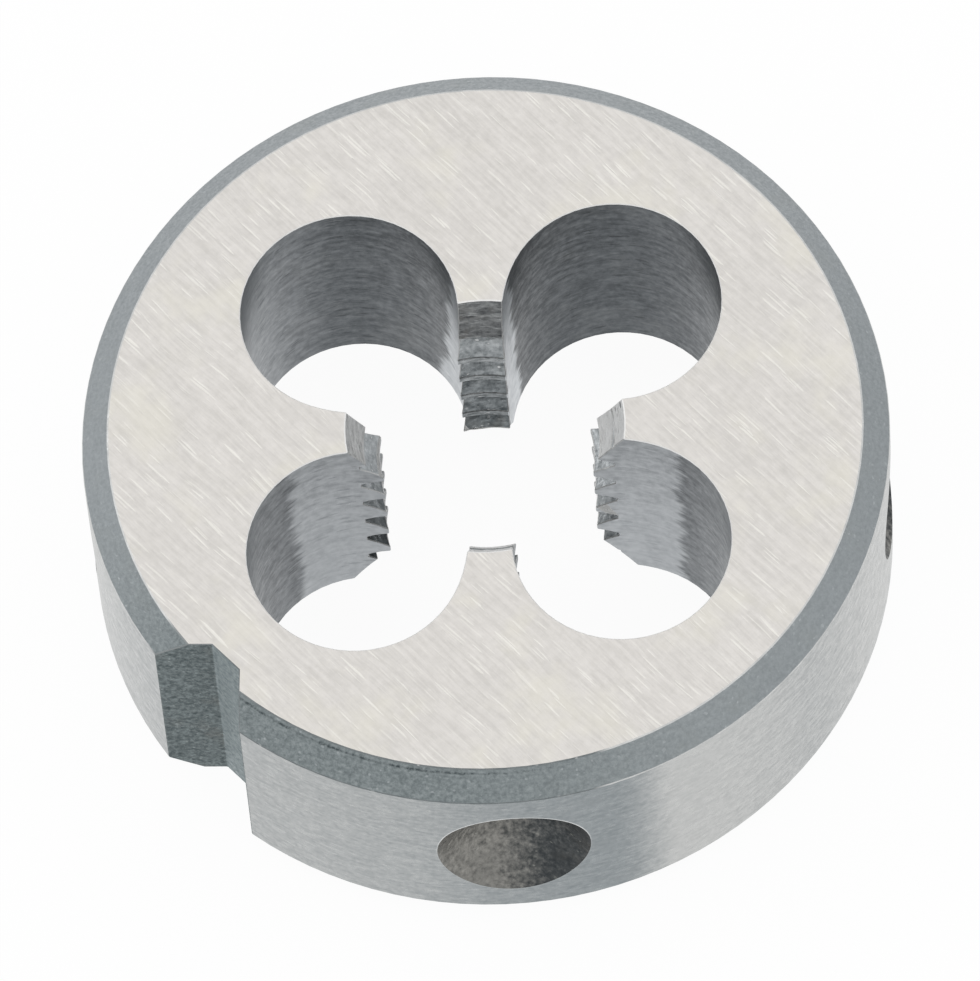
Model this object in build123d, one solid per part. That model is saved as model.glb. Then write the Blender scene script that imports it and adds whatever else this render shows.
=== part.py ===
from build123d import *
import os
from math import radians, tan

# Round threading die for a right-hand M8 x 1.25 thread, in millimetres.
# The origin is on the thread axis, on the lower face; +Z comes up out of the upper face.
# The four lands lie on the X and Y axes, with a chip hole between each pair.

# Body, a turned disc
body_diameter = 25.0
body_thickness = 9.0
edge_bevel_width = 0.83  # taken off each face, along the radius
edge_bevel_height = 0.72  # taken off the outside wall, along the axis

# Thread
thread_major_diameter = 8.0
thread_pitch = 1.25
thread_start_position = 90.0  # degrees from +X, where the middle of the groove crosses the lower face
lead_in_diameter = 8.65  # mouth of the countersink in the upper face
lower_lead_in_diameter = 9.0  # mouth of the one in the lower face
lead_in_angle = 60.0  # included angle of both
groove_angle = 60.0  # included angle of the thread groove

# Chip holes, bored right through beside the thread
chip_hole_count = 4
chip_hole_diameter = 6.75
chip_hole_circle_diameter = 11.58
rake_radius = 4.6  # the cutting side of each hole is ground out to this larger radius
rake_start_angle = 113.0  # where that starts, round the hole from its outermost point

# Adjusting notch in the outside wall, beside the first chip hole past -X
notch_depth = 1.4
notch_floor_width = 1.2
notch_angle = 90.0  # included angle between its two flanks
notch_lag = 2.5  # degrees clockwise from the line through that chip hole

# Conical seats for the screws of a die holder: a pair on the notch's side and a pair across from it
screw_seat_diameter = 5.2  # across the cone where its axis leaves the wall
screw_seat_angle = 90.0  # included angle of the cone
screw_seat_position = 46.7  # degrees either side of the line through the notch's chip hole

# How far a cutting tool runs past what it cuts
tool_overrun = 1.0

body_radius = body_diameter / 2
chip_hole_radius = chip_hole_diameter / 2
chip_hole_distance = chip_hole_circle_diameter / 2
hole_step = 360 / chip_hole_count
first_hole_position = hole_step / 2
notch_hole_position = first_hole_position + chip_hole_count // 2 * hole_step

# Basic thread form: sharp V height, then flats of pitch/8 at the root and pitch/4 at the crest
sharp_height = thread_pitch / 2 / tan(radians(groove_angle / 2))
root_flat = thread_pitch / 8
thread_depth = 5 / 8 * sharp_height
minor_radius = thread_major_diameter / 2 - thread_depth


def lead_in_depth(mouth):
    """How far down a countersink with this mouth radius meets the minor diameter."""
    return (mouth - minor_radius) / tan(radians(lead_in_angle / 2))


def turned_blank():
    """Disc with bevelled edges, bored to the minor diameter and countersunk at both ends.

    The section is turned from the middle of a chip hole, so that no land carries the seam.
    """
    upper_mouth = lead_in_diameter / 2
    lower_mouth = lower_lead_in_diameter / 2
    face_edge = body_radius - edge_bevel_width
    top = body_thickness
    section = Polyline(
        (lower_mouth, 0),
        (face_edge, 0),
        (body_radius, edge_bevel_height),
        (body_radius, top - edge_bevel_height),
        (face_edge, top),
        (upper_mouth, top),
        (minor_radius, top - lead_in_depth(upper_mouth)),
        (minor_radius, lead_in_depth(lower_mouth)),
        close=True,
    )
    return Rot(0, 0, first_hole_position) * revolve(Plane.XZ * make_face(section), Axis.Z)


def chip_hole():
    """One chip hole on +X, with the hollow of the cutting face on its anticlockwise side."""
    centre = Vector(chip_hole_distance, 0)
    start_direction = Vector(1, 0).rotate(Axis.Z, rake_start_angle)
    start = centre + start_direction * chip_hole_radius
    rake_centre = start - start_direction * rake_radius
    # the hollow ends in the open middle of the die, level with the centre of the hole's inner side
    end_direction = Vector(1, 0).rotate(Axis.Z, 180)
    end = rake_centre + end_direction * rake_radius
    middle = rake_centre + (start_direction + end_direction).normalized() * rake_radius
    hollow = make_face([ThreePointArc(start, middle, end), Line(end, centre), Line(centre, start)])
    outline = Pos(chip_hole_distance, 0) * Circle(chip_hole_radius) + hollow
    return Pos(0, 0, -tool_overrun) * extrude(outline, body_thickness + 2 * tool_overrun)


def groove_length():
    """The stretch of helical V groove that crosses one land, run in past the crests."""
    inner_radius = minor_radius - root_flat
    outer_radius = thread_major_diameter / 2
    inner_half_width = root_flat / 2 + (outer_radius - inner_radius) * tan(radians(groove_angle / 2))
    path = Helix(thread_pitch, thread_pitch / chip_hole_count, outer_radius)
    section = Polyline(
        (outer_radius, -root_flat / 2),
        (outer_radius, root_flat / 2),
        (inner_radius, inner_half_width),
        (inner_radius, -inner_half_width),
        close=True,
    )
    return sweep(Plane.XZ * make_face(section), path=path, is_frenet=True)


def thread_grooves():
    """The thread as it is left between the chip holes: every turn's stretch on every land."""
    length = groove_length()
    rise = thread_pitch / chip_hole_count
    count = int(body_thickness / rise) + 2 * chip_hole_count
    grooves = []
    for index in range(count):
        turn = index * hole_step - hole_step / 2
        lift = (index - 0.5) * rise - thread_pitch * (1 + thread_start_position / 360)
        grooves.append(Pos(0, 0, lift) * Rot(0, 0, turn) * length)
    return grooves


def notch():
    """The adjusting notch on +X, a V with a flat floor."""
    floor_distance = body_radius - notch_depth
    reach = notch_depth + tool_overrun
    half_floor = notch_floor_width / 2
    half_mouth = half_floor + reach * tan(radians(notch_angle / 2))
    outline = Polyline(
        (floor_distance, -half_floor),
        (floor_distance + reach, -half_mouth),
        (floor_distance + reach, half_mouth),
        (floor_distance, half_floor),
        close=True,
    )
    return Pos(0, 0, -tool_overrun) * extrude(make_face(outline), body_thickness + 2 * tool_overrun)


def screw_seat():
    """One conical seat on +X, half way up the wall."""
    seat_radius = screw_seat_diameter / 2
    slope = tan(radians(screw_seat_angle / 2))
    depth = seat_radius / slope
    outline = Polyline(
        (body_radius - depth, 0),
        (body_radius + tool_overrun, 0),
        (body_radius + tool_overrun, seat_radius + tool_overrun * slope),
        close=True,
    )
    cone = revolve(Plane.XZ * make_face(outline), Axis.X)
    return Pos(0, 0, body_thickness / 2) * cone


def die_body():
    """The whole die, one piece of steel."""
    body = turned_blank()
    for index in range(chip_hole_count):
        body -= Rot(0, 0, first_hole_position + index * hole_step) * chip_hole()
    body -= thread_grooves()
    body -= Rot(0, 0, notch_hole_position - notch_lag) * notch()
    for line in (notch_hole_position, notch_hole_position + 180):
        for side in (-1, 1):
            body -= Rot(0, 0, line + side * screw_seat_position) * screw_seat()
    return body


os.makedirs("parts", exist_ok=True)
body = die_body()
body.label = "die_body"
export_step(body, "parts/die_body.step")
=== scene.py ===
import bpy
import bmesh
import math
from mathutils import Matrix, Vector


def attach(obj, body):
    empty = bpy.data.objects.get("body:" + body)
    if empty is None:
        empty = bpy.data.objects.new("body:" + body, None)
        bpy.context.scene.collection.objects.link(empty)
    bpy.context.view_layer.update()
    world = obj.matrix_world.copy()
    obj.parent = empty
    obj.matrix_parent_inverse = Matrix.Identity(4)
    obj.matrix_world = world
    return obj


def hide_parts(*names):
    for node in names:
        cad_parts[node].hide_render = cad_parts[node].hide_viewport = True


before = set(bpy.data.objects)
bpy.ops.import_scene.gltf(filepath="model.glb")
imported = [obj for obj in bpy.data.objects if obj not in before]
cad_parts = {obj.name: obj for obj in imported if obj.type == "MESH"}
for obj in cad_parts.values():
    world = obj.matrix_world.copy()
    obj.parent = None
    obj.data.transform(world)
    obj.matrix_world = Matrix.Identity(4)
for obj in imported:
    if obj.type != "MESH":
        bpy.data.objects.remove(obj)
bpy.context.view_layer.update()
mm = 0.001


# helpers for node trees

def addNode(tree, kind, place, **settings):
    node = tree.nodes.new(kind)
    node.location = place
    for key, value in settings.items():
        setattr(node, key, value)
    return node


def feed(tree, socket, source):
    if isinstance(source, bpy.types.NodeSocket):
        tree.links.new(source, socket)
    elif isinstance(source, tuple) and socket.type == "RGBA":
        socket.default_value = (*source, 1.0)
    else:
        socket.default_value = source


def calculate(tree, place, operation, first, second=0.0):
    node = addNode(tree, "ShaderNodeMath", place, operation=operation)
    feed(tree, node.inputs[0], first)
    feed(tree, node.inputs[1], second)
    return node.outputs[0]


def calculateVector(tree, place, operation, *values):
    node = addNode(tree, "ShaderNodeVectorMath", place, operation=operation)
    for socket, value in zip(node.inputs, values):
        feed(tree, socket, value)
    return node.outputs["Value" if operation == "LENGTH" else "Vector"]


def remap(tree, place, source, low, high, newLow=0.0, newHigh=1.0):
    node = addNode(tree, "ShaderNodeMapRange", place, interpolation_type="SMOOTHSTEP")
    values = {"Value": source, "From Min": low, "From Max": high, "To Min": newLow, "To Max": newHigh}
    for label, value in values.items():
        feed(tree, node.inputs[label], value)
    return node.outputs[0]


def stretch(tree, place, source, contrast):
    # more contrast about the middle, and nothing past black and white
    across, up = place
    centred = calculate(tree, place, "SUBTRACT", source, 0.5)
    scaled = calculate(tree, (across + 200, up), "MULTIPLY", centred, contrast)
    lifted = calculate(tree, (across + 400, up), "ADD", scaled, 0.5)
    lifted.node.use_clamp = True
    return lifted


def mixColour(tree, place, amount, first, second, blend="MIX"):
    node = addNode(tree, "ShaderNodeMix", place, data_type="RGBA", blend_type=blend)
    feed(tree, node.inputs[0], amount)
    feed(tree, node.inputs[6], first)
    feed(tree, node.inputs[7], second)
    return node.outputs[2]


def addNoise(tree, place, vector, scale, detail, roughness=0.5):
    node = addNode(tree, "ShaderNodeTexNoise", place)
    values = {"Vector": vector, "Scale": scale, "Detail": detail, "Roughness": roughness}
    for label, value in values.items():
        feed(tree, node.inputs[label], value)
    return node.outputs


def objectSpace(tree, place):
    return addNode(tree, "ShaderNodeTexCoord", place).outputs["Object"]


def painted(tree, place, layer):
    # a value painted on the mesh
    return addNode(tree, "ShaderNodeAttribute", place, attribute_name=layer).outputs["Fac"]


def startGroup(name, inputs, outputs):
    group = bpy.data.node_groups.new(name, "ShaderNodeTree")
    for direction, sockets in (("INPUT", inputs), ("OUTPUT", outputs)):
        for label, kind in sockets.items():
            group.interface.new_socket(label, in_out=direction, socket_type="NodeSocket" + kind)
    start = addNode(group, "NodeGroupInput", (-1500, 0))
    end = addNode(group, "NodeGroupOutput", (1100, 0))
    return group, start.outputs, end.inputs


def useGroup(tree, group, place, **values):
    node = addNode(tree, "ShaderNodeGroup", place, node_tree=group)
    for label, value in values.items():
        feed(tree, node.inputs[label], value)
    return node.outputs


# node groups for the marks that the finishes share

markSettings = {
    "wanderRate": 450.0, "wanderReach": 0.16 * mm,  # how often a mark strays sideways, and how far
    "grainRoughness": 0.6,
    "bendRate": 0.8, "bendReach": 0.9,  # the bend of a scratch, in cells
    "strokeFade": 0.12, "faintest": 0.3,  # how soft a scratch's ends are, and how weak it may be
    "fleckDetail": 4.0, "cloudDetail": 3.0, "speckleRoughness": 0.65,
    "cloudRate": 0.09,  # as a share of the flecks' rate
    "lineFade": (-0.4 * mm, 1.4 * mm), "lineWeakest": 0.1,  # heights over which a seat's painted highlight comes up
}


def layMarks(group, start, settings):
    # object space turned and stretched, so that one unit of it is one mark
    # and wandering slowly, so that no two marks run quite parallel
    place = objectSpace(group, (-1300, 200))
    wander = addNoise(group, (-1100, 0), place, settings["wanderRate"], 0.0)
    reach = (settings["wanderReach"], settings["wanderReach"], 0.0)
    shifted = calculateVector(group, (-900, 150), "MULTIPLY_ADD", wander["Color"], reach, place)
    lay = addNode(group, "ShaderNodeMapping", (-450, 100), vector_type="TEXTURE")
    feed(group, lay.inputs["Vector"], shifted)
    feed(group, lay.inputs["Rotation"], start["Turn"])
    feed(group, lay.inputs["Scale"], start["Size"])
    return lay.outputs["Vector"]


def buildGrain(settings):
    # drawn-out marks: Turn lays them, Size is their length, width and depth in metres
    group, start, end = startGroup(
        "toolGrain",
        {"Turn": "Vector", "Size": "Vector", "Detail": "Float", "Contrast": "Float"},
        {"Mark": "Float"},
    )
    laid = layMarks(group, start, settings)
    noise = addNoise(group, (-200, 100), laid, 1.0, start["Detail"], settings["grainRoughness"])
    feed(group, end["Mark"], stretch(group, (50, 100), noise["Fac"], start["Contrast"]))
    return group


def buildScratches(settings):
    # separate strokes, at most one to a cell: Size is the cell in metres
    # and Reach the share of it that a long stroke fills
    group, start, end = startGroup(
        "fineScratches", {"Turn": "Vector", "Size": "Vector", "Reach": "Float"}, {"Line": "Float"},
    )
    laid = layMarks(group, start, settings)
    bend = addNoise(group, (-250, -150), laid, settings["bendRate"], 1.0)
    bendReach = (settings["bendReach"],) * 3
    strayed = calculateVector(group, (-50, 100), "MULTIPLY_ADD", bend["Color"], bendReach, laid)
    cells = addNode(group, "ShaderNodeTexVoronoi", (150, 100), feature="F1")
    feed(group, cells.inputs["Scale"], 1.0)
    feed(group, cells.inputs["Vector"], strayed)
    chance = addNode(group, "ShaderNodeSeparateColor", (350, -50))
    feed(group, chance.inputs[0], cells.outputs["Color"])
    reach = calculate(group, (500, -50), "MULTIPLY", chance.outputs[0], start["Reach"])
    inside = calculate(group, (500, 100), "SUBTRACT", reach, cells.outputs["Distance"])
    line = remap(group, (700, 100), inside, 0.0, settings["strokeFade"])
    depth = remap(group, (700, -100), chance.outputs[1], 0.0, 1.0, settings["faintest"], 1.0)
    feed(group, end["Line"], calculate(group, (850, 100), "MULTIPLY", line, depth))
    return group


def buildSpeckle(settings):
    # the fine pitting and mottling of steel: Size is that of the flecks in metres
    group, start, end = startGroup(
        "steelSpeckle", {"Size": "Float", "Contrast": "Float"}, {"Fleck": "Float", "Cloud": "Float"},
    )
    place = objectSpace(group, (-700, 200))
    fleckRate = calculate(group, (-500, -100), "DIVIDE", 1.0, start["Size"])
    cloudRate = calculate(group, (-500, -300), "MULTIPLY", fleckRate, settings["cloudRate"])
    patterns = (
        ("Fleck", 100, fleckRate, settings["fleckDetail"]),
        ("Cloud", -300, cloudRate, settings["cloudDetail"]),
    )
    for label, up, rate, detail in patterns:
        noise = addNoise(group, (-200, up), place, rate, detail, settings["speckleRoughness"])
        feed(group, end[label], stretch(group, (50, up), noise["Fac"], start["Contrast"]))
    return group


def buildTurnedLine():
    # a thin ring about the Z axis
    group, start, end = startGroup("turnedLine", {"Radius": "Float", "Width": "Float"}, {"Line": "Float"})
    place = objectSpace(group, (-700, 200))
    flat = calculateVector(group, (-500, 200), "MULTIPLY", place, (1.0, 1.0, 0.0))
    out = calculateVector(group, (-300, 200), "LENGTH", flat)
    past = calculate(group, (-100, 200), "SUBTRACT", out, start["Radius"])
    away = calculate(group, (100, 200), "ABSOLUTE", past)
    feed(group, end["Line"], remap(group, (300, 200), away, start["Width"], 0.0))
    return group


def buildSeatHighlight(settings):
    # painted highlight: a thin line on the wall round the mouths of two cones across from each other,
    # clearest above them
    # Tip is how far the cones' tips would be from Centre
    group, start, end = startGroup(
        "seatHighlight",
        {"Turn": "Vector", "Centre": "Vector", "Tip": "Float", "Width": "Float"},
        {"Line": "Float"},
    )
    lay = addNode(group, "ShaderNodeMapping", (-1100, 200), vector_type="TEXTURE")
    feed(group, lay.inputs["Vector"], objectSpace(group, (-1300, 200)))
    feed(group, lay.inputs["Location"], start["Centre"])
    feed(group, lay.inputs["Rotation"], start["Turn"])
    laid = lay.outputs["Vector"]
    split = addNode(group, "ShaderNodeSeparateXYZ", (-900, 200))
    feed(group, split.inputs[0], laid)
    flat = calculateVector(group, (-900, 0), "MULTIPLY", laid, (0.0, 1.0, 1.0))
    across = calculateVector(group, (-700, 0), "LENGTH", flat)
    out = calculate(group, (-700, 200), "ABSOLUTE", split.outputs["X"])
    radius = calculate(group, (-500, 200), "SUBTRACT", out, start["Tip"])
    past = calculate(group, (-300, 100), "SUBTRACT", across, radius)
    line = remap(group, (-100, 100), past, start["Width"], 0.0)
    low, high = settings["lineFade"]
    above = remap(group, (-100, -150), split.outputs["Z"], low, high, settings["lineWeakest"], 1.0)
    feed(group, end["Line"], calculate(group, (150, 100), "MULTIPLY", line, above))
    return group


toolGrain = buildGrain(markSettings)
fineScratches = buildScratches(markSettings)
steelSpeckle = buildSpeckle(markSettings)
turnedLine = buildTurnedLine()
seatHighlight = buildSeatHighlight(markSettings)
print("node groups built")


# the steel of the die: one look for each way that a surface was made
# the marks run from dark to light, and paintedLight is that pair where the tone painted on the mesh is 1

# on most surfaces a high tone is painted light and shade: lit and shaded sides, highlights and reflections
plainLook = {  # what a look has unless it says otherwise
    "metallic": 1.0, "turn": (0, 0, 0),
    "speckleContrast": 2.2, "tintRange": (0.5, 0.95), "tintShare": 0.45,
    "ragged": 0.3, "toneRange": (0.04, 0.96),  # how far the marks move the border between two tones
    "calm": 0.0,  # how much the marks fade where the tone is high
    "patchRagged": 0.0, "patchFade": 0.2 * mm,  # for the painted reflections beside the lands
    "scratchBlend": "MIX", "paintedLightScratch": 1.0,  # the share of the scratches left where the painted light shows
    "scratchDepth": 0.5, "glossRange": (0.2, 0.8),
}
patchFingers = {"size": (2.4 * mm, 2.4 * mm, 0.5 * mm), "detail": 3.0, "contrast": 1.6}

steelLooks = {
    "groundFace": {  # both faces, surface ground in one direction
        "dark": (0.62, 0.60, 0.572), "light": (0.75, 0.725, 0.695), "tint": (0.765, 0.74, 0.65),
        "paintedLight": ((0.7, 0.7, 0.7), (0.8, 0.8, 0.8)), "roughness": (0.30, 0.42), "bump": 0.008 * mm,
        "turn": (0, 0, math.radians(-48)),
        "grain": (1.3 * mm, 0.11 * mm, 2 * mm), "grainDetail": 2.0, "grainContrast": 3.3,
        "scratch": (1.3 * mm, 0.085 * mm, 1.2 * mm), "scratchReach": 0.5, "scratchShare": 0.6,
        "scratchColour": (0.88, 0.865, 0.81), "speckle": 0.26 * mm, "speckleShare": 0.5,
    },
    "turnedBevel": {
        "dark": (0.312, 0.336, 0.346), "light": (0.436, 0.460, 0.474), "tint": (0.37, 0.39, 0.39),
        "paintedLight": ((0.125, 0.15, 0.155), (0.36, 0.395, 0.40)), "roughness": (0.38, 0.55), "bump": 0.012 * mm,
        "grain": (0.7 * mm, 0.7 * mm, 0.09 * mm), "grainDetail": 2.0, "grainContrast": 1.4,
        "scratch": (0.22 * mm, 0.22 * mm, 0.14 * mm), "scratchReach": 0.34, "scratchShare": 0.5,
        "scratchColour": (0.50, 0.53, 0.54), "speckle": 0.13 * mm, "speckleShare": 0.72,
        "ring": {  # a dark line left by the tool, where the tone is high and the marks are dark
            "radius": 11.78 * mm, "width": 0.05 * mm, "colour": (0.06, 0.075, 0.08),
            "toneRange": (0.6, 0.9), "wornRange": (0.3, 0.6), "wornShare": 0.35,
        },
    },
    "groundRim": {
        "dark": (0.21, 0.237, 0.251), "light": (0.288, 0.318, 0.330), "tint": (0.265, 0.29, 0.30),
        "paintedLight": ((0.49, 0.50, 0.495), (0.56, 0.565, 0.555)), "roughness": (0.26, 0.40), "bump": 0.004 * mm,
        "grain": (0.62 * mm, 0.62 * mm, 0.15 * mm), "grainDetail": 2.0, "grainContrast": 2.0,
        "scratch": (0.55 * mm, 0.55 * mm, 0.12 * mm), "scratchReach": 0.38, "scratchShare": 0.25,
        "scratchColour": (0.55, 0.57, 0.57), "paintedLightScratch": 0.4,
        "speckle": 0.18 * mm, "speckleShare": 0.5, "ragged": 0.25,
        "seatHighlights": {  # painted highlights: bright lines round the seats, each for the pair across from each other
            "turns": (91.7, 178.3), "centre": (0, 0, 4.5 * mm), "tip": 9.9 * mm,
            "width": 0.055 * mm, "colour": (0.80, 0.81, 0.81),
        },
    },
    "boredHole": {  # the chip holes and the hollows that run on from them into the cutting faces
        "dark": (0.050, 0.058, 0.066), "light": (0.096, 0.108, 0.118), "tint": (0.13, 0.14, 0.145),
        "paintedLight": ((0.495, 0.522, 0.545), (0.67, 0.695, 0.718)), "roughness": (0.30, 0.46),
        "bump": 0.005 * mm,
        "grain": (0.8 * mm, 0.8 * mm, 0.22 * mm), "grainDetail": 2.5, "grainContrast": 1.9,
        "scratch": (0.8 * mm, 0.8 * mm, 0.16 * mm), "scratchReach": 0.46, "scratchShare": 0.65,
        "scratchColour": (0.42, 0.44, 0.46), "scratchBlend": "MULTIPLY", "paintedLightScratch": 0.3,
        "speckle": 0.24 * mm, "speckleShare": 0.5, "ragged": 0.2, "patchRagged": 0.9 * mm, "calm": 1.2,
    },
    "cutThread": {
        "dark": (0.055, 0.065, 0.070), "light": (0.215, 0.235, 0.245), "tint": (0.16, 0.155, 0.145),
        "paintedLight": ((0.28, 0.30, 0.31), (0.56, 0.58, 0.59)), "roughness": (0.26, 0.46), "bump": 0.014 * mm,
        "grain": (0.5 * mm, 0.5 * mm, 0.12 * mm), "grainDetail": 2.0, "grainContrast": 2.0,
        "scratch": (0.22 * mm, 0.22 * mm, 0.08 * mm), "scratchReach": 0.36, "scratchShare": 0.6,
        "scratchColour": (0.74, 0.75, 0.75), "speckle": 0.12 * mm, "speckleShare": 0.4,
    },
    "leadIn": {  # the countersinks
        "dark": (0.05, 0.055, 0.06), "light": (0.42, 0.43, 0.43), "tint": (0.28, 0.265, 0.24),
        "paintedLight": ((0.74, 0.74, 0.73), (0.98, 0.98, 0.97)), "roughness": (0.28, 0.5), "bump": 0.022 * mm,
        "metallic": 0.35,
        "grain": (0.6 * mm, 0.6 * mm, 0.13 * mm), "grainDetail": 2.5, "grainContrast": 3.0,
        "scratch": (0.5 * mm, 0.5 * mm, 0.09 * mm), "scratchReach": 0.42, "scratchShare": 0.7,
        "scratchColour": (0.03, 0.035, 0.04), "speckle": 0.12 * mm, "speckleShare": 0.35, "ragged": 0.25,
    },
    "milledNotch": {
        "dark": (0.05, 0.068, 0.073), "light": (0.235, 0.280, 0.285), "tint": (0.15, 0.145, 0.13),
        "paintedLight": ((0.16, 0.20, 0.21), (0.36, 0.41, 0.42)), "roughness": (0.42, 0.6), "bump": 0.024 * mm,
        "grain": (0.22 * mm, 0.22 * mm, 0.22 * mm), "grainDetail": 2.5, "grainContrast": 2.4,
        "scratch": (0.2 * mm, 0.2 * mm, 0.14 * mm), "scratchReach": 0.34, "scratchShare": 0.6,
        "scratchColour": (0.40, 0.44, 0.44), "speckle": 0.16 * mm, "speckleShare": 0.75,
    },
    "drilledSeat": {
        "dark": (0.036, 0.042, 0.046), "light": (0.098, 0.104, 0.106), "tint": (0.10, 0.095, 0.085),
        "paintedLight": ((0.13, 0.130, 0.122), (0.35, 0.34, 0.315)), "roughness": (0.34, 0.5), "bump": 0.020 * mm,
        "grain": (0.35 * mm, 0.35 * mm, 0.18 * mm), "grainDetail": 2.5, "grainContrast": 2.2,
        "scratch": (0.3 * mm, 0.3 * mm, 0.18 * mm), "scratchReach": 0.30, "scratchShare": 0.5,
        "scratchColour": (0.40, 0.40, 0.37), "speckle": 0.15 * mm, "speckleShare": 0.6, "ragged": 0.7,
    },
    "brokenEdge": {  # the narrow break along the edges, coloured bright as a painted highlight, and painted shade where the tone is 1
        "dark": (0.46, 0.47, 0.465), "light": (0.70, 0.70, 0.69), "tint": (0.70, 0.70, 0.68),
        "paintedLight": ((0.10, 0.12, 0.125), (0.22, 0.24, 0.245)), "roughness": (0.24, 0.38), "bump": 0.006 * mm,
        "metallic": 0.35,
        "grain": (0.5 * mm, 0.5 * mm, 0.3 * mm), "grainDetail": 2.0, "grainContrast": 2.0,
        "scratch": (0.3 * mm, 0.3 * mm, 0.3 * mm), "scratchReach": 0.3, "scratchShare": 0.4,
        "scratchColour": (0.9, 0.9, 0.89), "speckle": 0.12 * mm, "speckleShare": 0.4,
    },
    "faceEdge": {  # the break where a hole or the bore leaves a face, coloured near white and nearly matt: painted light, so that it shows as light as the face
        "dark": (0.80, 0.79, 0.775), "light": (0.91, 0.90, 0.88), "tint": (0.90, 0.89, 0.86),
        "paintedLight": ((0.75, 0.75, 0.75), (0.9, 0.9, 0.9)), "roughness": (0.24, 0.38), "bump": 0.004 * mm,
        "metallic": 0.1,
        "grain": (0.5 * mm, 0.5 * mm, 0.3 * mm), "grainDetail": 2.0, "grainContrast": 2.0,
        "scratch": (0.3 * mm, 0.3 * mm, 0.3 * mm), "scratchReach": 0.3, "scratchShare": 0.4,
        "scratchColour": (0.85, 0.84, 0.82), "speckle": 0.12 * mm, "speckleShare": 0.4,
    },
}


def addPatch(tree, amount, look):
    # painted reflection: the patch beside a land has a tone of its own, inside a border that strays in long
    # fingers
    fingers = useGroup(
        tree, toolGrain, (-1900, -650), Turn=look["turn"], Size=patchFingers["size"],
        Detail=patchFingers["detail"], Contrast=patchFingers["contrast"],
    )
    stray = calculate(tree, (-1450, -650), "SUBTRACT", fingers["Mark"], 0.5)
    strayed = calculate(tree, (-1250, -650), "MULTIPLY", stray, look["patchRagged"])
    border = painted(tree, (-1450, -750), "patchBorder")
    strayed = calculate(tree, (-1050, -650), "ADD", border, strayed)
    inside = remap(tree, (-850, -650), strayed, -look["patchFade"], look["patchFade"])
    step = calculate(tree, (-850, -900), "SUBTRACT", painted(tree, (-1450, -1000), "patchTone"), amount)
    step = calculate(tree, (-650, -800), "MULTIPLY", step, inside)
    return calculate(tree, (-450, -500), "ADD", amount, step)


def addRing(tree, colour, ring, tone, shade):
    line = useGroup(tree, turnedLine, (-850, 650), Radius=ring["radius"], Width=ring["width"])["Line"]
    clear = remap(tree, (-650, 500), tone, *ring["toneRange"])
    amount = calculate(tree, (-450, 600), "MULTIPLY", line, clear)
    worn = remap(tree, (-650, 750), shade, *ring["wornRange"], 1.0, ring["wornShare"])
    amount = calculate(tree, (-300, 650), "MULTIPLY", amount, worn)
    return mixColour(tree, (-200, 400), amount, colour, ring["colour"])


def addSeatHighlights(tree, colour, lines):
    for index, turn in enumerate(lines["turns"]):
        edge = useGroup(
            tree, seatHighlight, (-850, 650 + 300 * index), Turn=(0, 0, math.radians(turn)),
            Centre=lines["centre"], Tip=lines["tip"], Width=lines["width"],
        )
        colour = mixColour(tree, (-200, 400 + 300 * index), edge["Line"], colour, lines["colour"])
    return colour


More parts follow.
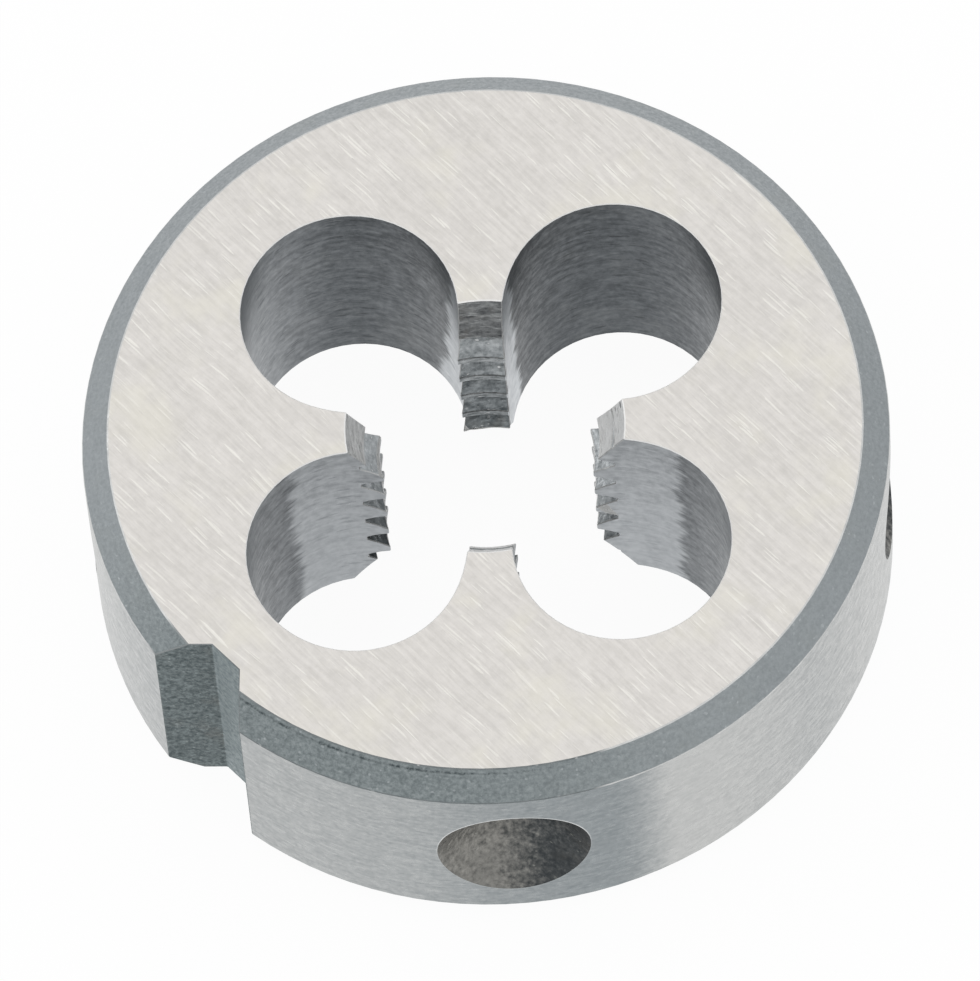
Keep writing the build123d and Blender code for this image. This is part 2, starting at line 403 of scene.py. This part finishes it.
def makeSteel(name, changes):
    look = {**plainLook, **changes}
    material = bpy.data.materials.new(name)
    material.use_nodes = True
    tree = material.node_tree
    steel = tree.nodes["Principled BSDF"]
    steel.inputs["Metallic"].default_value = look["metallic"]
    tone = painted(tree, (-1450, -500), "tone")

    # the pattern of the marks, and the separate scratches
    grain = useGroup(
        tree, toolGrain, (-1900, 300), Turn=look["turn"], Size=look["grain"],
        Detail=look["grainDetail"], Contrast=look["grainContrast"],
    )
    line = useGroup(
        tree, fineScratches, (-1900, 50), Turn=look["turn"], Size=look["scratch"], Reach=look["scratchReach"],
    )["Line"]
    speckle = useGroup(
        tree, steelSpeckle, (-1900, -200), Size=look["speckle"], Contrast=look["speckleContrast"],
    )
    grainPart = calculate(tree, (-1650, 300), "MULTIPLY", grain["Mark"], 1 - look["speckleShare"])
    fleckPart = calculate(tree, (-1650, 100), "MULTIPLY", speckle["Fleck"], look["speckleShare"])
    shade = calculate(tree, (-1450, 200), "ADD", grainPart, fleckPart)
    if look["calm"]:
        fade = calculate(tree, (-1450, 500), "MULTIPLY", tone, look["calm"])
        step = calculate(tree, (-1300, 400), "SUBTRACT", 0.5, shade)
        step = calculate(tree, (-1200, 500), "MULTIPLY", step, fade)
        shade = calculate(tree, (-1100, 400), "ADD", shade, step)

    # how much of the painted light and shade shows, with a border that strays with the marks
    stray = calculate(tree, (-1450, -300), "SUBTRACT", shade, 0.5)
    strayed = calculate(tree, (-1050, -300), "MULTIPLY", stray, look["ragged"])
    strayed = calculate(tree, (-850, -300), "ADD", tone, strayed)
    amount = remap(tree, (-650, -300), strayed, *look["toneRange"])
    if look["patchRagged"]:
        amount = addPatch(tree, amount, look)

    # colour
    plain = mixColour(tree, (-1050, 350), shade, look["dark"], look["light"])
    tintAmount = remap(tree, (-1250, 0), speckle["Cloud"], *look["tintRange"], 0.0, look["tintShare"])
    tinted = mixColour(tree, (-850, 300), tintAmount, plain, look["tint"])
    paintedLight = mixColour(tree, (-850, 100), shade, *look["paintedLight"])
    colour = mixColour(tree, (-600, 250), amount, tinted, paintedLight)
    share = look["scratchShare"]
    kept = remap(tree, (-850, -100), amount, 0.0, 1.0, share, share * look["paintedLightScratch"])
    lineAmount = calculate(tree, (-650, 0), "MULTIPLY", line, kept)
    colour = mixColour(tree, (-400, 200), lineAmount, colour, look["scratchColour"], look["scratchBlend"])
    if "ring" in look:
        colour = addRing(tree, colour, look["ring"], tone, shade)
    if "seatHighlights" in look:
        colour = addSeatHighlights(tree, colour, look["seatHighlights"])
    feed(tree, steel.inputs["Base Color"], colour)

    # gloss and relief
    glossy, dull = look["roughness"]
    feed(tree, steel.inputs["Roughness"], remap(tree, (-400, -50), shade, *look["glossRange"], dull, glossy))
    groove = calculate(tree, (-650, -1000), "MULTIPLY", line, look["scratchDepth"])
    bump = addNode(tree, "ShaderNodeBump", (-250, -250))
    bump.inputs["Distance"].default_value = look["bump"]
    feed(tree, bump.inputs["Height"], calculate(tree, (-450, -900), "SUBTRACT", shade, groove))
    feed(tree, steel.inputs["Normal"], bump.outputs["Normal"])
    return material


# the die: the CAD solid with its edges broken, and each surface given its own finish

dieSizes = {
    "bodyRadius": 12.5 * mm, "thickness": 9 * mm, "mouthRadius": 4.5 * mm, "crestRadius": 3.3 * mm,
    "bevelSlope": 49.1, "bevelRadius": 11.5 * mm,  # degrees from upright, and the least radius of its faces
    "holeRadius": 3.375 * mm, "holeDistance": 5.79 * mm, "holeReach": 10 * mm,
    "notchAngle": 222.5, "notchRadius": 10 * mm, "notchHalfWidth": 1.95 * mm, "notchHalfFloor": 0.6 * mm,
    "seatRadius": 9.5 * mm, "seatReach": 3.1 * mm, "seatLean": 45, "leadInSlope": 30, "flankSlope": 60,
    "edgeBreak": 0.03 * mm, "shortestEdge": 0.06 * mm,
    "mergeReach": 0.0001 * mm, "flatAngle": 0.3, "sharpAngle": 25, "smoothAngle": 20,  # degrees
    "toneInset": 0.02,  # how far towards a face's middle its corners take their tone, as a share
}

# how closely a face has to match a surface to be part of it
faceMatch = {
    "levelRise": 0.999, "uprightRise": 0.02,  # the rise of the normal, at least and at most
    # and how far it points out from the axis
    "rimOutward": 0.997, "bevelOutward": 0.6, "hollowOutward": 0.9, "boreOutward": -0.4,
    "slope": 3, "leadInSlope": 2, "crestSlope": 2.5,  # degrees
    "rim": 0.05 * mm, "hole": 0.03 * mm, "seatLean": 0.06,
}

# painted reflection and shade: how the tone changes round the rim and the bevels, lighter and darker as they
# would mirror the studio: degrees in the plan, then tone
rimReflectionTones = (
    (0, 0.9), (180, 0.88), (215, 0.58), (240, 0.58), (258, 0.48), (268, 0.3), (286, 0.07),
    (291, 0.4), (296, 0.98), (301, 1.0), (306, 0.85), (322, 0.62), (345, 0.88), (360, 0.9),
)
bevelShadeTones = (
    (0, 0.33), (45, 0.1), (90, 0.0), (150, 0.08), (185, 0.22), (205, 0.5), (225, 0.95),
    (255, 0.95), (275, 0.75), (300, 0.4), (330, 0.3), (360, 0.3),
)

# painted shade: the stretches of the upper bevel's edges that are dark: from and to, in degrees, then tone
shadedEdges = ((211, 225, 0.7), (225, 285, 1.0))
shadedEdgeRadius = 11 * mm  # the least radius of those edges

# painted light and shade on the walls of each chip hole, by its place in degrees: tone towards -X, between
# and towards +X then the painted reflections beside the lands: their tone
# and how many degrees round the hole their border lies at each of the patch levels
patchLevels = (-0.05, 0.22, 0.5, 1.1)  # as shares of the thickness
evenPatch = (0.5, (103, 103, 103, 103))
holeLightTones = {
    45: {"walls": (0.0, 0.12, 0.26), "clockwise": evenPatch, "anticlockwise": (0.98, (116, 93, 97, 122))},
    135: {"walls": (0.5, 0.15, 0.22), "clockwise": (0.85, (94, 98, 102, 122)), "anticlockwise": evenPatch},
    225: {"walls": (0.31, 0.22, 0.24), "clockwise": (0.58, (100, 100, 100, 98)), "anticlockwise": evenPatch},
    315: {"walls": (0.24, 0.22, 0.33), "clockwise": evenPatch, "anticlockwise": (0.64, (102, 102, 102, 102))},
}
wallFade = 1.5  # how fast the tone leaves the sides of a hole

# painted light and shade on the lands, lighter or darker by their place in degrees
# tone of the countersink, near white as a painted highlight, and of the thread at the lower and the upper
# face, painted darker towards the lower face
landLightTones = {
    0: {"leadIn": 0.95, "cutThread": (0.5, 0.75)}, 90: {"leadIn": 0.05, "cutThread": (0.0, 0.6)},
    180: {"leadIn": 0.6, "cutThread": (0.0, 0.95)}, 270: {"leadIn": 1.0, "cutThread": (0.3, 1.0)},
}

# painted light and shade: one side of each screw seat lighter, the other darker; by their place in degrees,
# the tone of the lighter side of each
seatLightTones = {91.7: 0.5, 178.3: 0.5, 271.7: 0.97, 358.3: 0.5}
seatShade = (1.3 * mm, -0.9 * mm)  # from one side of a seat to the other


def onAxis(point, angle):
    # the point seen along a direction in the plan: how far out, and how far to the side
    turn = math.radians(angle)
    return (
        point.x * math.cos(turn) + point.y * math.sin(turn),
        point.y * math.cos(turn) - point.x * math.sin(turn),
    )


def onSeat(centre, normal, size):
    for angle in seatLightTones:
        out, side = onAxis(centre, angle)
        across = math.hypot(side, centre.z - size["thickness"] / 2)
        lean = onAxis(normal, angle)[0] - math.cos(math.radians(size["seatLean"]))
        if out > size["seatRadius"] and across < size["seatReach"] and abs(lean) < faceMatch["seatLean"]:
            return True
    return False


def onHole(centre, size):
    for angle in holeLightTones:
        out, side = onAxis(centre, angle)
        away = math.hypot(out - size["holeDistance"], side)
        if abs(away - size["holeRadius"]) < faceMatch["hole"]:
            return True
    return False


def surfaceOf(face, size):
    centre = face.calc_center_median()
    normal = face.normal
    radius = math.hypot(centre.x, centre.y)
    outward = (normal.x * centre.x + normal.y * centre.y) / radius
    if abs(normal.z) > faceMatch["levelRise"]:
        return "groundFace"
    slope = math.degrees(math.asin(abs(normal.z)))
    upright = abs(normal.z) < faceMatch["uprightRise"]
    middle = size["thickness"] / 2
    if radius < size["holeReach"] and abs(centre.z - middle) > middle - size["edgeBreak"]:
        return "faceEdge"
    tilted = outward > faceMatch["bevelOutward"] and abs(slope - size["bevelSlope"]) < faceMatch["slope"]
    if tilted and radius > size["bevelRadius"]:
        return "turnedBevel"
    if outward > faceMatch["rimOutward"] and radius > size["bodyRadius"] - faceMatch["rim"]:
        return "groundRim"
    out, side = onAxis(centre, size["notchAngle"])
    if upright and out > size["notchRadius"] and abs(side) < size["notchHalfWidth"]:
        return "milledNotch"
    if onSeat(centre, normal, size):
        return "drilledSeat"
    inHollow = radius > size["crestRadius"] and abs(outward) < faceMatch["hollowOutward"]
    if upright and (onHole(centre, size) or inHollow):
        return "boredHole"
    if radius < size["mouthRadius"] and outward < faceMatch["boreOutward"]:
        if abs(slope - size["leadInSlope"]) < faceMatch["leadInSlope"] and radius > size["crestRadius"]:
            return "leadIn"
        if slope < faceMatch["crestSlope"] or abs(slope - size["flankSlope"]) < faceMatch["slope"]:
            return "cutThread"
    return "brokenEdge"


def blend(value, low, high):
    return min(max((value - low) / (high - low), 0.0), 1.0)


def nearest(point, angles):
    return min(angles, key=lambda angle: -onAxis(point, angle)[0])


def along(table, value):
    for (start, before), (end, after) in zip(table, table[1:]):
        if start <= value <= end:
            return before + (after - before) * blend(value, start, end)


# the tone painted on a corner: on the rim, bevels, holes, seats, lands and edges it is painted light and
# shade
def toneOf(surface, point, size):
    around = math.degrees(math.atan2(point.y, point.x)) % 360
    level = point.z / size["thickness"]
    if surface == "groundRim":
        return along(rimReflectionTones, around)
    if surface == "turnedBevel":
        return along(bevelShadeTones, around)
    if surface == "boredHole":
        hole = nearest(point, holeLightTones)
        out, side = onAxis(point, hole)
        facing = math.cos(math.radians(hole) + math.atan2(side, out - size["holeDistance"]))
        left, between, right = holeLightTones[hole]["walls"]
        return between + ((left if facing < 0 else right) - between) * abs(facing) ** wallFade
    if surface == "drilledSeat":
        seat = nearest(point, seatLightTones)
        return blend(onAxis(point, seat)[1], *seatShade) * seatLightTones[seat]
    if surface == "milledNotch":  # the floor is lighter than the flanks
        return 1.0 if abs(onAxis(point, size["notchAngle"])[1]) < size["notchHalfFloor"] else 0.0
    if surface == "leadIn":
        return landLightTones[nearest(point, landLightTones)]["leadIn"]
    if surface == "cutThread":
        low, high = landLightTones[nearest(point, landLightTones)]["cutThread"]
        return low + (high - low) * level
    # painted shade on stretches of the upper outer edges
    if surface == "brokenEdge" and level > 0.5 and point.xy.length > shadedEdgeRadius:
        for start, end, tone in shadedEdges:
            if start < around <= end:
                return tone
    return 0.0


def patchOf(point, size):
    # how far inside the patch of painted reflection beside the land, in metres, and the tone of that patch
    hole = nearest(point, holeLightTones)
    out, side = onAxis(point, hole)
    turned = math.degrees(math.atan2(side, out - size["holeDistance"]))
    tone, limits = holeLightTones[hole]["anticlockwise" if turned > 0 else "clockwise"]
    limit = along(tuple(zip(patchLevels, limits)), point.z / size["thickness"])
    return math.radians(abs(turned) - limit) * size["holeRadius"], tone


def breakEdges(work, size):
    # the seats' mouths stay sharp, because their short edges would leave nubs
    seats = {face for face in work.faces if surfaceOf(face, size) == "drilledSeat"}
    sharpAngle = math.radians(size["sharpAngle"])
    sharp = [
        edge for edge in work.edges
        if edge.calc_face_angle(0) > sharpAngle and seats.isdisjoint(edge.link_faces)
    ]
    bmesh.ops.bevel(
        work, geom=sharp, offset=size["edgeBreak"], offset_type="OFFSET", segments=1, profile=0.5,
        affect="EDGES", material=-1, clamp_overlap=False, miter_outer="SHARP", miter_inner="SHARP",
    )
    work.normal_update()


def buildDie(size):
    piece = bpy.data.objects.new("dieSteel", bpy.data.meshes.new("dieSteel"))
    bpy.context.scene.collection.objects.link(piece)
    work = bmesh.new()
    work.from_mesh(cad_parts["die_body"].data)
    bmesh.ops.remove_doubles(work, verts=work.verts, dist=size["mergeReach"])
    bmesh.ops.dissolve_limit(
        work, angle_limit=math.radians(size["flatAngle"]), verts=work.verts, edges=work.edges,
    )
    bmesh.ops.remove_doubles(work, verts=work.verts, dist=size["shortestEdge"])
    work.normal_update()
    breakEdges(work, size)
    names = list(steelLooks)
    tones = work.loops.layers.float.new("tone")
    borders = work.loops.layers.float.new("patchBorder")
    patches = work.loops.layers.float.new("patchTone")
    surfaces = {}
    for face in work.faces:
        surfaces[face] = surfaceOf(face, size)
        face.material_index = names.index(surfaces[face])
        face.smooth = True
        centre = face.calc_center_median()
        for corner in face.loops:
            # just inside the face, so that a corner on a border takes its own face's tone
            corner[tones] = toneOf(surfaces[face], corner.vert.co.lerp(centre, size["toneInset"]), size)
            if surfaces[face] == "boredHole":
                corner[borders], corner[patches] = patchOf(corner.vert.co, size)
    smoothAngle = math.radians(size["smoothAngle"])
    for edge in work.edges:
        sides = {surfaces[face] for face in edge.link_faces}
        edge.smooth = len(sides) == 1 and edge.calc_face_angle(0) < smoothAngle
    work.to_mesh(piece.data)
    work.free()
    for name, look in steelLooks.items():
        piece.data.materials.append(makeSteel(name, look))
    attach(piece, "root")
    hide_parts("die_body")
    return piece


die = buildDie(dieSizes)
print("die built:", len(die.data.polygons), "faces")


# floor, light and camera

studio = {
    "floorSize": 1.6, "floorDrop": 0.02 * mm,  # a little under the die, so that the two don't share a plane
    "floorColour": (0.94, 0.94, 0.94), "floorWhite": 0.95,  # the share of the floor that shows plain white
    "skyTop": (1.04, 1.04, 1.04), "skySide": (0.60, 0.62, 0.64), "skyLevel": 1.0, "skyRise": (0.05, 0.75),
    "softboxPlace": (-0.45, 0.10, 0.40), "softboxSize": 0.45, "softboxWatts": 0.25,
}


def makeFloorFinish(settings):
    # white to the camera and in reflections, with the die's shadow, and clear from below
    material = bpy.data.materials.new("paleFloor")
    material.use_nodes = True
    tree = material.node_tree
    tree.nodes.clear()
    matt = addNode(tree, "ShaderNodeBsdfDiffuse", (-300, 100))
    feed(tree, matt.inputs["Color"], settings["floorColour"])
    white = addNode(tree, "ShaderNodeEmission", (-300, -100))
    white.inputs["Strength"].default_value = 1.0
    path = addNode(tree, "ShaderNodeLightPath", (-900, 300)).outputs
    seen = calculate(tree, (-600, 300), "MAXIMUM", path["Is Camera Ray"], path["Is Glossy Ray"])
    seen = calculate(tree, (-450, 300), "MAXIMUM", seen, path["Is Transmission Ray"])
    clear = addNode(tree, "ShaderNodeBsdfTransparent", (0, -100))
    side = addNode(tree, "ShaderNodeNewGeometry", (0, 400))
    above = addNode(tree, "ShaderNodeMixShader", (0, 100))
    feed(tree, above.inputs[0], calculate(tree, (-300, 300), "MULTIPLY", seen, settings["floorWhite"]))
    feed(tree, above.inputs[1], matt.outputs[0])
    feed(tree, above.inputs[2], white.outputs[0])
    either = addNode(tree, "ShaderNodeMixShader", (200, 100))
    feed(tree, either.inputs[0], side.outputs["Backfacing"])
    feed(tree, either.inputs[1], above.outputs[0])
    feed(tree, either.inputs[2], clear.outputs[0])
    end = addNode(tree, "ShaderNodeOutputMaterial", (400, 100))
    feed(tree, end.inputs["Surface"], either.outputs[0])
    return material


def buildFloor(settings):
    mesh = bpy.data.meshes.new("floor")
    work = bmesh.new()
    bmesh.ops.create_grid(work, x_segments=1, y_segments=1, size=settings["floorSize"] / 2)
    bmesh.ops.translate(work, verts=work.verts, vec=(0, 0, -settings["floorDrop"]))
    work.to_mesh(mesh)
    work.free()
    mesh.materials.append(makeFloorFinish(settings))
    floor = bpy.data.objects.new("floor", mesh)
    bpy.context.scene.collection.objects.link(floor)


def buildSky(settings):
    world = bpy.data.worlds.new("studioSky")
    bpy.context.scene.world = world
    world.use_nodes = True
    tree = world.node_tree
    background = tree.nodes["Background"]
    background.inputs["Strength"].default_value = settings["skyLevel"]
    place = addNode(tree, "ShaderNodeTexCoord", (-900, 0))
    split = addNode(tree, "ShaderNodeSeparateXYZ", (-700, 0))
    feed(tree, split.inputs[0], place.outputs["Generated"])
    rise = remap(tree, (-500, 0), split.outputs["Z"], *settings["skyRise"])
    colour = mixColour(tree, (-300, 0), rise, settings["skySide"], settings["skyTop"])
    feed(tree, background.inputs["Color"], colour)


def buildLamp(name, place, size, watts):
    light = bpy.data.lights.new(name, "AREA")
    light.shape = "DISK"
    light.size = size
    light.energy = watts
    lamp = bpy.data.objects.new(name, light)
    lamp.location = place
    lamp.rotation_euler = (-Vector(place)).to_track_quat("-Z", "Y").to_euler()
    bpy.context.scene.collection.objects.link(lamp)


buildFloor(studio)
buildSky(studio)
buildLamp("softbox", studio["softboxPlace"], studio["softboxSize"], studio["softboxWatts"])

view = {
    "place": (8.63 * mm, -188.537 * mm, 393.865 * mm), "turn": (25.7727, 2.1252, -1.76866),  # degrees
    "lens": 509.71, "nearest": 0.01,
}
lens = bpy.data.cameras.new("camera")
lens.lens = view["lens"]
lens.clip_start = view["nearest"]
camera = bpy.data.objects.new("camera", lens)
camera.location = view["place"]
camera.rotation_euler = [math.radians(angle) for angle in view["turn"]]
bpy.context.scene.collection.objects.link(camera)
bpy.context.scene.camera = camera
bpy.context.scene.view_settings.view_transform = "Standard"
print("stage set")
